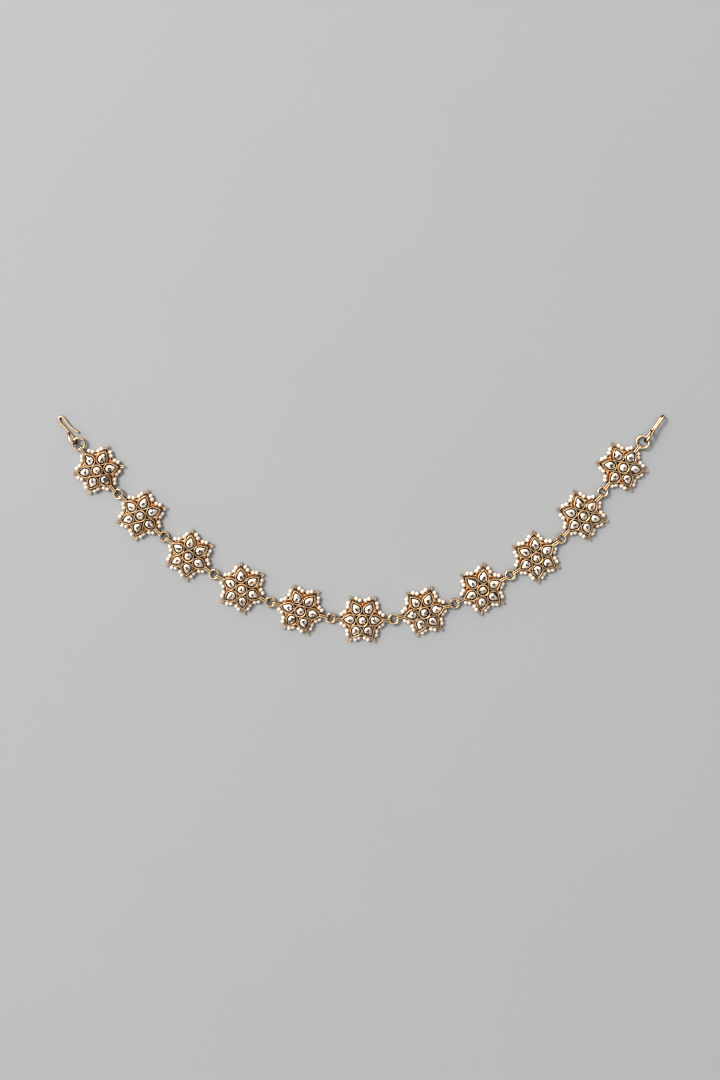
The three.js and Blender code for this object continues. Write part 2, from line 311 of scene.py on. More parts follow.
def wire_tree():
    """Draws round wire along every path of a mesh of edges, with painted shade that makes its sides darker
    than its top.
    """
    inputs = {"Radius": "Float", "Sides": "Int", "Patina": "Float", "Side Shade": "Float"}
    inputs["Material"] = "Material"
    graph, given = geometry_tree("wire along a path", inputs)
    path = graph.node("GeometryNodeMeshToCurve", {}, {"Mesh": given["Geometry"]})
    values = {"Resolution": given["Sides"], "Radius": given["Radius"]}
    section = graph.node("GeometryNodeCurvePrimitiveCircle", {}, values)
    values = {"Curve": path, "Profile Curve": section, "Fill Caps": True}
    wire = graph.node("GeometryNodeCurveToMesh", {}, values)
    facing = graph.node("GeometryNodeInputNormal")
    # Painted shade: the steeper the surface, the darker it is, on top of the wire's own patina.
    steepness = 1 - graph.axis(facing, "Z")
    patina = given["Patina"] + steepness.smooth(0.08, 0.45) * given["Side Shade"]
    values = {"Geometry": wire, "Name": "patina", "Value": patina}
    patinated_and_shaded = graph.node("GeometryNodeStoreNamedAttribute", {"data_type": "FLOAT"}, values)
    return close_tree(graph, patinated_and_shaded, given["Material"])


def round_tree():
    """Repeats a piece round the flower's middle, an even step apart."""
    inputs = {"Count": "Int", "First Turn": "Float", "Material": "Material"}
    graph, given = geometry_tree("copies round the middle", inputs)
    points = graph.node("GeometryNodePoints", {}, {"Count": given["Count"]})
    index = graph.node("GeometryNodeInputIndex")
    turn = given["First Turn"] + index * (2 * math.pi) / given["Count"]
    spin = graph.node("ShaderNodeCombineXYZ", {}, {"Z": turn})
    values = {"Points": points, "Instance": given["Geometry"], "Rotation": spin}
    copies = graph.node("GeometryNodeInstanceOnPoints", {}, values)
    return close_tree(graph, copies, given["Material"])


def bead_tree():
    """Strings a bead on every point of a thread, with its hole along the thread."""
    inputs = {"Bead": "Object", "Radius": "Float", "Spread": "Float", "Seed": "Int", "Material": "Material"}
    graph, given = geometry_tree("beads on a thread", inputs)
    bead = graph.node("GeometryNodeObjectInfo", {}, {"Object": given["Bead"]}, "Geometry")
    along = graph.node(
        "GeometryNodeInputNamedAttribute", {"data_type": "FLOAT_VECTOR"}, {"Name": "along"}
    )
    facing = graph.node("FunctionNodeAlignRotationToVector", {"axis": "Z"}, {"Vector": along})

    def random(low, high, shift):
        values = {"Min": low, "Max": high, "Seed": given["Seed"] + shift}
        return graph.node("FunctionNodeRandomValue", {"data_type": "FLOAT"}, values, 1)

    least = given["Radius"] * (1 - given["Spread"])
    most = given["Radius"] * (1 + given["Spread"])
    sizes = {axis: random(least, most, shift) for shift, axis in enumerate("XYZ")}
    size = graph.node("ShaderNodeCombineXYZ", {}, sizes)
    values = {"Points": given["Geometry"], "Instance": bead, "Rotation": facing, "Scale": size}
    strung = graph.node("GeometryNodeInstanceOnPoints", {}, values)
    settings = {"data_type": "FLOAT", "domain": "INSTANCE"}
    values = {"Geometry": strung, "Name": "tint", "Value": random(0.0, 1.0, 3)}
    tinted = graph.node("GeometryNodeStoreNamedAttribute", settings, values)
    return close_tree(graph, tinted, given["Material"])


def grown(tree, mesh, values):
    """The plain mesh that a geometry tree makes of a mesh."""
    source = bpy.data.objects.new("source", mesh)
    bpy.context.scene.collection.objects.link(source)
    modifier = source.modifiers.new("tree", "NODES")
    modifier.node_group = tree
    for item in tree.interface.items_tree:
        if item.in_out == "INPUT" and item.name in values:
            modifier[item.identifier] = values[item.name]
    graph = bpy.context.evaluated_depsgraph_get()
    made = bpy.data.meshes.new_from_object(
        source.evaluated_get(graph), preserve_all_data_layers=True, depsgraph=graph
    )
    source.modifiers.remove(modifier)
    bpy.data.objects.remove(source)
    made.set_sharp_from_angle(angle=math.radians(50))
    return made


def helper(name, make):
    """A tree that is built the first time it is asked for."""
    return bpy.data.node_groups.get(name) or make()


# ---------------------------------------------------------------- materials

def shader(name):
    """A new material, as its graph, its principled shader and the material itself."""
    material = bpy.data.materials.new(name)
    material.use_nodes = True
    graph = Graph(material.node_tree)
    principled = material.node_tree.nodes["Principled BSDF"]
    return graph, principled, material


def feed(graph, principled, **values):
    """Links fields to the shader's sockets, or sets what is the same all over the surface."""
    for key, value in values.items():
        socket = principled.inputs[key.replace("_", " ")]
        if isinstance(value, Field):
            graph.tree.links.new(value.socket, socket)
        else:
            socket.default_value = value


def antique_gold(finish):
    """Gold plate that is bright on what stands up and dark in what lies deep, on wire sides and low on
    walls: partly the oxide of antique gold, partly painted shade.
    """
    graph, principled, material = shader("antique gold")
    depth = graph.attribute("patina")
    cloud = graph.noise(420, 3.0)
    speck = graph.noise(2600, 2.0)
    # Patina and painted shade from the mesh, broken up with noise: brown first, then black as it grows.
    patinated_and_shaded = depth + (cloud - 0.5) * 0.24 + (speck - 0.5) * 0.12
    brown = patinated_and_shaded.smooth(0.15, 0.7)
    black = patinated_and_shaded.smooth(0.55, 0.95)
    plate = graph.mix(cloud.smooth(0.35, 0.68), tuple(finish.gold), tuple(finish.gold_deep))
    tarnished = graph.mix(brown, plate, tuple(finish.tarnish_and_shade))
    colour = graph.mix(black, tarnished, tuple(finish.oxide_and_shade))
    bump = graph.node(
        "ShaderNodeBump", {}, {"Strength": 0.3, "Distance": 0.02 * MM, "Height": speck + cloud}
    )
    feed(
        graph,
        principled,
        Base_Color=colour,
        Metallic=1.0,
        Roughness=0.12 + brown * 0.2 + black * 0.25 + (cloud - 0.5) * 0.08,
        Specular_Tint=tuple(finish.gold_edge),
        Normal=bump,
    )
    return material


def foiled_stone(finish):
    """Uncut crystal over foil: each facet's colour is painted bright or dark, a painted reflection of foil
    and room.
    """
    graph, principled, material = shader("foiled stone")
    tone = graph.attribute("tone")
    tint = graph.attribute("tint")
    cloud = graph.noise(700, 2.0)
    body = graph.mix(tint, tuple(finish.crystal_cool), tuple(finish.crystal_warm))
    light = (tone + (cloud - 0.5) * 0.3).smooth(0.0, 1.0)
    colour = graph.mix(light, tuple(finish.foil_shadow), body)
    feed(
        graph,
        principled,
        Base_Color=colour,
        Metallic=0.45,
        Roughness=0.04 + cloud * 0.08,
        IOR=1.6,
        Coat_Weight=0.35 + light * 0.65,
        Coat_Roughness=0.03,
        Coat_IOR=1.55,
    )
    return material


def nacre(finish):
    """Seed pearl: cream to pink, with a painted sheen that makes its edges paler as seen from the camera,
    and painted shade in its hole.
    """
    graph, principled, material = shader("nacre")
    tint = graph.attribute("tint")
    hole = graph.attribute("patina")
    cloud = graph.noise(500, 2.0)
    # Painted sheen: the colour turns paler where the surface turns away from the camera.
    painted_sheen = graph.node("ShaderNodeLayerWeight", {}, {"Blend": 0.35}, "Facing")
    body = graph.mix(tint, tuple(finish.pearl_cream), tuple(finish.pearl_pink))
    lustre = graph.mix(painted_sheen * 0.5, body, tuple(finish.pearl_edge))
    # Painted shade: the drill hole is darkened towards the tarnish colour.
    colour = graph.mix(hole, lustre, tuple(finish.tarnish_and_shade))
    feed(
        graph,
        principled,
        Base_Color=colour,
        Roughness=0.3 + cloud * 0.15,
        IOR=1.5,
        Coat_Weight=0.25,
        Coat_Roughness=0.12,
        Subsurface_Weight=0.12,
        Subsurface_Radius=(0.6 * MM, 0.45 * MM, 0.35 * MM),
        Subsurface_Scale=1.0,
    )
    return material


def table_top(settings):
    """A plain matt pale surface."""
    graph, principled, material = shader("table top")
    cloud = graph.noise(9, 2.0)
    pale = tuple(settings.floor_colour)
    dim = tuple(0.97 * part for part in settings.floor_colour[:3]) + (1.0,)
    feed(graph, principled, Base_Color=graph.mix(cloud, dim, pale), Roughness=0.85)
    return material


def painted(name, make, settings):
    """A material that is built the first time it is asked for."""
    return bpy.data.materials.get(name) or make(settings)


# ---------------------------------------------------------------- places, from the frame

def centre_of(node):
    low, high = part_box(node)
    return (low + high) / 2


def corners_of(node):
    return np.array([vertex.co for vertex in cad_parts[node].data.vertices])


def flower_place(number):
    """Where a flower lies: over its centre stone, turned along the line from bail to bail."""
    centre = centre_of(f"centre_stone_{number:02d}")
    spread = corners_of(f"flower_setting_{number:02d}")[:, :2] - np.array(centre.xy)
    bails = spread[np.hypot(*spread.T) > BAIL_REACH]
    line = bails[bails[:, 0] > 0].mean(0) - bails[bails[:, 0] < 0].mean(0)
    turn = Matrix.Rotation(math.atan2(line[1], line[0]), 4, "Z")
    return Matrix.Translation((centre.x, centre.y, 0)) @ turn


def ring_place(node, towards):
    """Where a ring lies: its middle and plane, with its X axis towards a point."""
    centre = centre_of(node)
    corners = corners_of(node) - np.array(centre)
    normal = Vector(np.linalg.svd(corners)[2][2])
    normal *= math.copysign(1, normal.z)
    ahead = Vector(towards) - centre
    ahead = (ahead - ahead.dot(normal) * normal).normalized()
    turn = Matrix((ahead, normal.cross(ahead), normal)).transposed().to_4x4()
    return Matrix.Translation(centre) @ turn


def hook_place(side):
    """Where a hook lies: on its end ring, turned the way that it points."""
    lay = HOOKS[side]
    centre = centre_of(f"end_ring_{side}")
    slipped = Matrix.Translation((lay.along, lay.aside, lay.lift))
    heading = Matrix.Rotation(math.radians(lay.heading), 4, "Z")
    return Matrix.Translation((centre.x, centre.y, 0)) @ heading @ slipped


# ---------------------------------------------------------------- meshes

Shell = namedtuple("Shell", "points faces patina")


def lofted(rings, shades):
    """A closed shell through rings of equal counts, counter-clockwise from above, from the outside in."""
    count = len(rings[0])
    faces = []
    for low in range(len(rings) - 1):
        for i in range(count):
            j = (i + 1) % count
            start = low * count
            faces.append((start + i, start + j, start + count + j, start + count + i))
    last = (len(rings) - 1) * count
    faces.append(tuple(reversed(range(count))))
    faces.append(tuple(range(last, last + count)))
    points = [point for ring in rings for point in ring]
    patina = [shade for shade in shades for _ in range(count)]
    return Shell(points, faces, patina)


def mesh_of(name, shells):
    """One mesh of several shells, with how dark each point is, from oxide and painted shade."""
    points, faces, patina = [], [], []
    for shell in shells:
        start = len(points)
        points += shell.points
        faces += [tuple(start + corner for corner in face) for face in shell.faces]
        patina += shell.patina
    mesh = bpy.data.meshes.new(name)
    mesh.from_pydata(points, [], faces)
    mesh.attributes.new("patina", "FLOAT", "POINT").data.foreach_set("value", patina)
    mesh.shade_smooth()
    return mesh


def joined(name, meshes):
    """Several meshes as one."""
    whole = bmesh.new()
    for mesh in meshes:
        whole.from_mesh(mesh)
    made = bpy.data.meshes.new(name)
    whole.to_mesh(made)
    whole.free()
    for material in meshes[0].materials:
        made.materials.append(material)
    return made


def path_mesh(paths, closed=False):
    """A mesh of edges only, one chain for each path."""
    points, edges = [], []
    for path in paths:
        start = len(points)
        points += [tuple(point) for point in path]
        edges += [(start + i, start + i + 1) for i in range(len(path) - 1)]
        if closed:
            edges.append((start + len(path) - 1, start))
    mesh = bpy.data.meshes.new("path")
    mesh.from_pydata(points, edges, [])
    return mesh


def through(points, steps, closed=False):
    """A smooth curve through points, centripetal so that it doesn't swing wide at close ones."""
    points = [Vector(point) for point in points]
    count = len(points)
    spans = count if closed else count - 1

    def at(i):
        if closed:
            return points[i % count]
        if i < 0:
            return 2 * points[0] - points[1]
        if i >= count:
            return 2 * points[-1] - points[-2]
        return points[i]

    curve = []
    for span in range(spans):
        p = [at(span + shift) for shift in (-1, 0, 1, 2)]
        knots = [0.0]
        for a, b in zip(p, p[1:]):
            knots.append(knots[-1] + max((b - a).length, 1e-9) ** 0.5)
        for step in range(steps):
            t = knots[1] + (knots[2] - knots[1]) * step / steps
            level = p
            for reach in (1, 2, 3):
                level = [
                    level[i] + (level[i + 1] - level[i]) * knot_share(t, knots, i, reach)
                    for i in range(len(level) - 1)
                ]
            curve.append(level[0])
    if not closed:
        curve.append(points[-1])
    return curve


def knot_share(t, knots, i, reach):
    """How far t lies between the knots that one step of the curve's blending uses."""
    spans = {1: (i, i + 1), 2: (i, i + 2), 3: (1, 2)}
    low, high = spans[reach]
    return (t - knots[low]) / (knots[high] - knots[low])


def pear(out):
    """A petal's outline, that far outside its stone's, from the tip's one side round to its other."""
    radius = PEAR["radius"] + out
    reach = PEAR["reach"] + PEAR["stretch"] * out
    tip = PEAR["tip"]
    centre = PEAR["centre"]
    lean = math.acos((radius - tip) / (reach - tip - centre))
    normal = Vector((math.cos(lean), math.sin(lean)))
    points = []
    for i in range(PEAR_POINTS["tip"]):
        angle = lean * (2 * (i + 0.5) / PEAR_POINTS["tip"] - 1)
        points.append((reach - tip + tip * math.cos(angle), tip * math.sin(angle)))
    side = []
    start = Vector((reach - tip, 0)) + tip * normal
    end = Vector((centre, 0)) + radius * normal
    for i in range(PEAR_POINTS["side"]):
        share = (i + 0.5) / PEAR_POINTS["side"]
        point = start.lerp(end, share) + normal * PEAR_FULLNESS * math.sin(math.pi * share)
        side.append(tuple(point))
    points += side
    for i in range(PEAR_POINTS["round"]):
        angle = lean + (2 * math.pi - 2 * lean) * (i + 0.5) / PEAR_POINTS["round"]
        points.append((centre + radius * math.cos(angle), radius * math.sin(angle)))
    points += [(x, -y) for x, y in reversed(side)]
    return points


def rim_height(along):
    """The height of a petal's rim, which falls away from the middle."""
    return RIM["height"] - RIM["fall"] * (along - RIM["start"])


def circle(radius, count, height=0.0):
    turns = [2 * math.pi * (i + 0.5) / count for i in range(count)]
    return [(radius * math.cos(turn), radius * math.sin(turn), height) for turn in turns]


def star(out):
    """The back plate's edge, a star with a tip under each petal, as (x, y)."""
    tip, notch = PLATE["tip"] + out, PLATE["notch"] + out
    half = STEP / 2
    points = []
    for i in range(PLATE["corners"]):
        turn = 2 * math.pi * i / PLATE["corners"]
        fold = abs((turn + half) % STEP - half)
        reach = tip * notch * math.sin(half) / (tip * math.sin(fold) + notch * math.sin(half - fold))
        points.append((reach * math.cos(turn), reach * math.sin(turn)))
    return points


def back_plate():
    rings = [[(x, y, band.up) for x, y in star(band.out)] for band in PLATE_SECTION]
    return lofted(rings, [band.patina for band in PLATE_SECTION])


def petal_setting():
    """A petal's bezel, with its rim and the dark ledge round its stone; the ledge and the foot of its wall
    are dark from oxide and painted shade.
    """
    rings = []
    floor = PLATE["thick"] / 2
    for band in PETAL_SECTION:
        rings.append([(x, y, max(rim_height(x) + band.up, floor)) for x, y in pear(band.out)])
    return lofted(rings, [band.patina for band in PETAL_SECTION])


def middle_setting():
    rings = [circle(band.out, 48, band.up) for band in MIDDLE_SECTION]
    return lofted(rings, [band.patina for band in MIDDLE_SECTION])


def ball(radius, centre):
    """A small round granule, with painted shade darkening its foot."""
    around, bands = GRANULE["around"], GRANULE["bands"]
    rings, shades = [], []
    for band in range(bands):
        tilt = math.pi * (band + 0.5) / bands
        height = centre[2] - radius * math.cos(tilt)
        ring = circle(radius * math.sin(tilt), around, height)
        rings.append([(x + centre[0], y + centre[1], z) for x, y, z in ring])
        shades.append(max(0.0, 0.9 - 1.6 * band / bands))
    return lofted(rings, shades)


def bail_shade_sheet():
    """A sheet between a bail's two wires, black all over as painted shade in the gap between them."""
    start, end, half = BAIL_SHADE_SHEET["start"], BAIL_SHADE_SHEET["end"], BAIL_SHADE_SHEET["half"]
    corners = [(start, -half), (end, -half), (end, half), (start, half)]
    rings = [[(x, y, height) for x, y in corners] for height in (BAIL_SHADE_SHEET["low"], BAIL_SHADE_SHEET["high"])]
    return lofted(rings, [1.0, 1.0])


def bead():
    """A round bead of radius 1, with a drilled hole along Z."""
    around, bands = PEARL_RINGS["around"], PEARL_RINGS["bands"]
    hole, depth = PEARL_RINGS["hole"], PEARL_RINGS["hole_depth"]
    edge = math.asin(hole)
    rings = [circle(hole * 0.6, around, -1 + depth)]
    # Painted shade: the rings round the hole at both ends are marked dark.
    shades = [1.0]
    for band in range(bands + 1):
        tilt = edge + (math.pi - 2 * edge) * band / bands
        rings.append(circle(math.sin(tilt), around, -math.cos(tilt)))
        shades.append(0.6 if band in (0, bands) else 0.0)
    rings.append(circle(hole * 0.6, around, 1 - depth))
    shades.append(1.0)
    return lofted(rings, shades)


def cut_stone(outline, lift, middle, crest, rng):
    """An uncut stone: a flat girdle on an outline, a crown of a few facets, and a small tilted table.

    lift(x, y) is the girdle's height, middle the stone's middle, and crest its height over the girdle.
    """
    cut = bmesh.new()
    for x, y in outline:
        cut.verts.new((x, y, lift(x, y) - crest * 0.55))
        cut.verts.new((x, y, lift(x, y)))

    def ring(count, share, rise, loose):
        first = rng.uniform(0, 2 * math.pi)
        for i in range(count):
            turn = first + 2 * math.pi * (i + rng.uniform(-0.28, 0.28)) / count
            reach = outline_reach(outline, middle, turn) * share * rng.uniform(1 - loose, 1 + loose)
            x = middle[0] + reach * math.cos(turn)
            y = middle[1] + reach * math.sin(turn)
            cut.verts.new((x, y, lift(x, y) + crest * rise * rng.uniform(0.93, 1.03)))

    for count, share, rise, loose in CROWN:
        ring(count, share, rise, loose)
    made = bmesh.ops.convex_hull(cut, input=cut.verts)
    inside = [part for part in made["geom_interior"] if isinstance(part, bmesh.types.BMVert)]
    bmesh.ops.delete(cut, geom=inside, context="VERTS")
    bmesh.ops.dissolve_limit(cut, angle_limit=math.radians(4), verts=cut.verts, edges=cut.edges)
    return cut


def outline_reach(outline, middle, turn):
    """How far an outline lies from a stone's middle in one direction."""
    heading = Vector((math.cos(turn), math.sin(turn)))
    best = 0.0
    for x, y in outline:
        spoke = Vector((x - middle[0], y - middle[1]))
        if spoke.normalized().dot(heading) > 0.95:
            best = max(best, spoke.length)
    return best or max((Vector((x, y)) - Vector(middle)).length for x, y in outline)


def painted_facet_tones(cut, gloom, rng):
    """How bright each facet is painted, a painted reflection of foil and room: mostly bright, with dark ones
    round the table.
    """
    tones = []
    for face in cut.faces:
        flatness = max(face.normal.z, 0.0)
        # Painted reflection: facets that face straight up are painted dark, like the dark room overhead, and
        # a few others at random.
        dark = flatness > 0.96 or rng.random() < gloom
        tones.append(rng.uniform(0.0, 0.12) if dark else rng.uniform(0.6, 1.0))
    return tones


def stone_mesh(name, cut, gloom, rng):
    mesh = bpy.data.meshes.new(name)
    cut.normal_update()
    tones = painted_facet_tones(cut, gloom, rng)
    cut.to_mesh(mesh)
    cut.free()
    mesh.attributes.new("tone", "FLOAT", "FACE").data.foreach_set("value", tones)
    tint = [rng.random()] * len(tones)
    mesh.attributes.new("tint", "FLOAT", "FACE").data.foreach_set("value", tint)
    return mesh


def petal_stone(rng):
    outline = pear(-PETAL_STONE["inset"])[::3]
    middle = (PEAR["centre"] + PETAL_STONE["aside"], 0.0)

    def girdle(x, y):
        return rim_height(x) - PETAL_STONE["under"]

    cut = cut_stone(outline, girdle, middle, PETAL_STONE["crest"], rng)
    return stone_mesh("petal stone", cut, PETAL_STONE["gloom"], rng)


def middle_stone(rng):
    outline = [(x, y) for x, y, _ in circle(MIDDLE_STONE["radius"], MIDDLE_STONE["corners"])]

    def girdle(x, y):
        return MIDDLE_STONE["girdle"]

    cut = cut_stone(outline, girdle, (0.0, 0.0), MIDDLE_STONE["crest"], rng)
    return stone_mesh("middle stone", cut, MIDDLE_STONE["gloom"], rng)


# ---------------------------------------------------------------- pieces

def finished(name, mesh, place, slot, *nodes):
    """A piece in its place in the row, riding on the one body, in the place of its solids."""
    mesh = mesh.copy()
    mesh.transform(place)
    piece = bpy.data.objects.new(name, mesh)
    bpy.context.scene.collection.objects.link(piece)
    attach(piece, BODY)
    if nodes:
        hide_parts(*nodes)
    return piece


def flat(points):
    return [(x * MM, y * MM, z * MM) for x, y, z in points]


def rolled(points, degrees):
    """The points of a hook's table in space, rolled up about the hook's own line."""
    roll = math.radians(degrees)
    return flat([(along, -out * math.cos(roll), out * math.sin(roll)) for along, out in points])


def wire_values(radius, sides, gold, patina=0.0):
    """The inputs of the wire tree, for wire with painted shade along its sides."""
    return {"Radius": radius, "Sides": sides, "Patina": patina, "Side Shade": 1.0, "Material": gold}


def flower_setting_mesh(sizes, gold):
    """The flower's metalwork: plate, bezels, granules and bails."""
    around = helper("copies round the middle", round_tree)
    wire = helper("wire along a path", wire_tree)
    petals = {"Count": PETALS, "First Turn": 0.0, "Material": gold}
    notches = {"Count": PETALS, "First Turn": STEP / 2, "Material": gold}
    tips = {"Count": len(BAIL_TIPS), "First Turn": 0.0, "Material": gold}
    plain = {"Count": 1, "First Turn": 0.0, "Material": gold}
    granule = ball(sizes.granule, (GRANULE["reach"], 0, GRANULE["height"]))
    route = through([(x * MM, 0, z * MM) for x, z in BAIL_ROUTE], 6)
    rails = [[point + Vector((0, side * BAIL_WIRE["apart"], 0)) for point in route] for side in (-1, 1)]
    values = wire_values(BAIL_WIRE["radius"], 12, gold)
    bail = joined("bail", [grown(wire, path_mesh(rails), values), mesh_of("shade sheet", [bail_shade_sheet()])])
    return joined(
        "setting",
        [
            grown(around, mesh_of("middle", [back_plate(), middle_setting()]), plain),
            grown(around, mesh_of("petal", [petal_setting()]), petals),
            grown(around, mesh_of("granule", [granule]), notches),
            grown(around, bail, tips),
        ],
    )


def spun(points, turn):
    return [Matrix.Rotation(turn, 3, "Z") @ Vector(point) for point in points]


def pearl_places():
    """The pearls' centres in order round the flower, with the thread's direction at each."""
    centres = []
    for tip in range(PETALS):
        centres += spun([(x * MM, y * MM, PEARL_HEIGHT) for x, y in PEARL_PLACES], tip * STEP)
    count = len(centres)
    return [(centres[i], centres[(i + 1) % count] - centres[i - 1]) for i in range(count)]


def pearl_wire_path():
    """The wire through the pearls, under each bail and in a small loop at each other tip."""
    half = len(PEARL_PLACES) // 2
    path = []
    for tip in range(PETALS):
        crossing = WIRE_UNDER_BAIL if tip in BAIL_TIPS else WIRE_LOOP
        pearls = [(x * MM, y * MM, PEARL_HEIGHT) for x, y in PEARL_PLACES]
        path += spun(pearls[:half] + flat(crossing) + pearls[half:], tip * STEP)
    return through(path, 4, closed=True)


def ring_path(radius):
    """A ring of wire with its seam at +Y."""
    turns = np.linspace(RING_SEAM / 2, 2 * math.pi - RING_SEAM / 2, 65) + math.pi / 2
    return [(radius * math.cos(turn), radius * math.sin(turn), 0) for turn in turns]


def length_property(name, description, default):
    return bpy.props.FloatProperty(
        name=name, description=description, default=default, min=0.0, unit="LENGTH", precision=5
    )


def colour_property(name, description, default):
    return bpy.props.FloatVectorProperty(
        name=name, description=description, default=default, size=4, min=0.0, max=1.0, subtype="COLOR"
    )


class MathaPattiSizes(bpy.types.PropertyGroup):
    """Sizes of the small parts of the matha patti."""

    pearl: length_property("Pearl Radius", "Radius of a seed pearl", 1.05 * MM)
    pearl_spread: bpy.props.FloatProperty(
        name="Pearl Spread", description="How much the pearls differ in size", default=0.04, subtype="FACTOR"
    )
    pearl_wire: length_property("Pearl Wire", "Radius of the pearls' wire", 0.29 * MM)
    granule: length_property("Granule", "Radius of the granule in each notch", 0.42 * MM)
    jump_ring: length_property("Jump Ring", "Middle radius of a jump ring", 2.3 * MM)
    jump_wire: length_property("Jump Ring Wire", "Radius of a jump ring's wire", 0.5 * MM)
    end_ring: length_property("End Ring", "Middle radius of an end ring", 3.0 * MM)
    end_wire: length_property("End Ring Wire", "Radius of an end ring's wire", 0.55 * MM)
    hook_wire: length_property("Hook Wire", "Radius of a hook's wire", 0.575 * MM)


class MathaPattiFinish(bpy.types.PropertyGroup):
    """Colours of the gold, the stones and the pearls."""

    gold: colour_property("Gold", "Bright gold plate", (1.0, 0.76, 0.46, 1.0))
    gold_deep: colour_property("Deep Gold", "The redder gold between worn places", (0.94, 0.60, 0.30, 1.0))
    # Tarnish and Oxide colour both the patina and the painted shade in recesses, on wire sides and under
    # parts; Tarnish also paints the shade in a pearl's hole.
    tarnish_and_shade: colour_property("Tarnish", "Brown gold in the shallow recesses", (0.29, 0.095, 0.018, 1.0))
    gold_edge: colour_property("Gold Edge", "Gold at a grazing angle", (1.0, 0.54, 0.24, 1.0))
    oxide_and_shade: colour_property("Oxide", "Near black in the deep recesses", (0.036, 0.011, 0.002, 1.0))
    crystal_cool: colour_property("Cool Stone", "The cooler stones", (0.81, 0.69, 0.61, 1.0))
    crystal_warm: colour_property("Warm Stone", "The warmer stones", (0.85, 0.68, 0.51, 1.0))
    # Foil Shadow is the colour of facets painted dark, a painted reflection.
    foil_shadow: colour_property("Foil Shadow", "Facets whose foil looks dark", (0.035, 0.022, 0.017, 1.0))
    pearl_cream: colour_property("Cream Pearl", "The creamier pearls", (0.56, 0.46, 0.35, 1.0))
    pearl_pink: colour_property("Pink Pearl", "The pinker pearls", (0.56, 0.44, 0.36, 1.0))
    # Pearl Sheen is a painted sheen, mixed in towards a pearl's edge as seen from the camera.
    pearl_edge: colour_property("Pearl Sheen", "The sheen at a pearl's edge", (0.60, 0.52, 0.44, 1.0))


class MathaPattiStage(bpy.types.PropertyGroup):
    """The table, the light and the camera."""

    floor_colour: colour_property("Table", "The table's colour", (0.245, 0.245, 0.245, 1.0))
    camera_height: bpy.props.FloatProperty(
        name="Camera Height", description="Camera over the table", default=0.5, unit="LENGTH"
    )
    key_power: bpy.props.FloatProperty(
        name="Key Light", description="Power of the light at the upper left", default=105.0, unit="POWER"
    )
    room_light: bpy.props.FloatProperty(
        name="Room Light", description="Brightness of the pale room", default=1.55, min=0.0
    )


class MATHA_PATTI_OT_settings(bpy.types.Operator):
    """Make the flowers' metalwork"""

    bl_idname = "matha_patti.settings"
    bl_label = "Flower Settings"

    def execute(self, context):
        scene = context.scene
        gold = painted("antique gold", antique_gold, scene.matha_patti_finish)
        mesh = flower_setting_mesh(scene.matha_patti_sizes, gold)
        for number in FLOWERS:
            node = f"flower_setting_{number:02d}"
            finished(f"flower_metal_{number:02d}", mesh, flower_place(number), "gold", node)
        return {"FINISHED"}


class MATHA_PATTI_OT_stones(bpy.types.Operator):
    """Cut the stones, each a little different"""

    bl_idname = "matha_patti.stones"
    bl_label = "Stones"

    def execute(self, context):
        crystal = painted("foiled stone", foiled_stone, context.scene.matha_patti_finish)
        for number in FLOWERS:
            rng = np.random.default_rng(100 + number)
            place = flower_place(number)
            petals = []
            for petal in range(PETALS):
                mesh = petal_stone(rng)
                mesh.transform(Matrix.Rotation(petal * STEP, 4, "Z"))
                petals.append(mesh)
            petals[0].materials.append(crystal)
            finished(f"petal_stones_{number:02d}", joined("stones", petals), place, "stone")
            mesh = middle_stone(rng)
            mesh.materials.append(crystal)
            finished(f"middle_stone_{number:02d}", mesh, place, "stone", f"centre_stone_{number:02d}")
        return {"FINISHED"}


class MATHA_PATTI_OT_pearls(bpy.types.Operator):
    """String the seed pearls round each flower"""

    bl_idname = "matha_patti.pearls"
    bl_label = "Seed Pearls"

    def execute(self, context):
        sizes = context.scene.matha_patti_sizes
        finish = context.scene.matha_patti_finish
        gold = painted("antique gold", antique_gold, finish)
        skin = painted("nacre", nacre, finish)
        one = bpy.data.objects.new("bead", mesh_of("bead", [bead()]))
        bpy.context.scene.collection.objects.link(one)
        thread = path_mesh([])
        places = pearl_places()
        thread.from_pydata([tuple(centre) for centre, _ in places], [], [])
        along = [part for _, direction in places for part in direction.normalized()]
        thread.attributes.new("along", "FLOAT_VECTOR", "POINT").data.foreach_set("vector", along)
        wire = grown(
            helper("wire along a path", wire_tree),
            path_mesh([pearl_wire_path()], closed=True),
            wire_values(sizes.pearl_wire, 8, gold, patina=0.1),
        )
        for number in FLOWERS:
            values = {"Bead": one, "Radius": sizes.pearl, "Spread": sizes.pearl_spread, "Seed": number}
            values["Material"] = skin
            pearls = grown(helper("beads on a thread", bead_tree), thread.copy(), values)
            place = flower_place(number)
            finished(f"seed_pearls_{number:02d}", pearls, place, "pearl", f"pearl_border_{number:02d}")
            finished(f"pearl_wire_{number:02d}", wire, place, "gold")
        bpy.data.objects.remove(one)
        return {"FINISHED"}


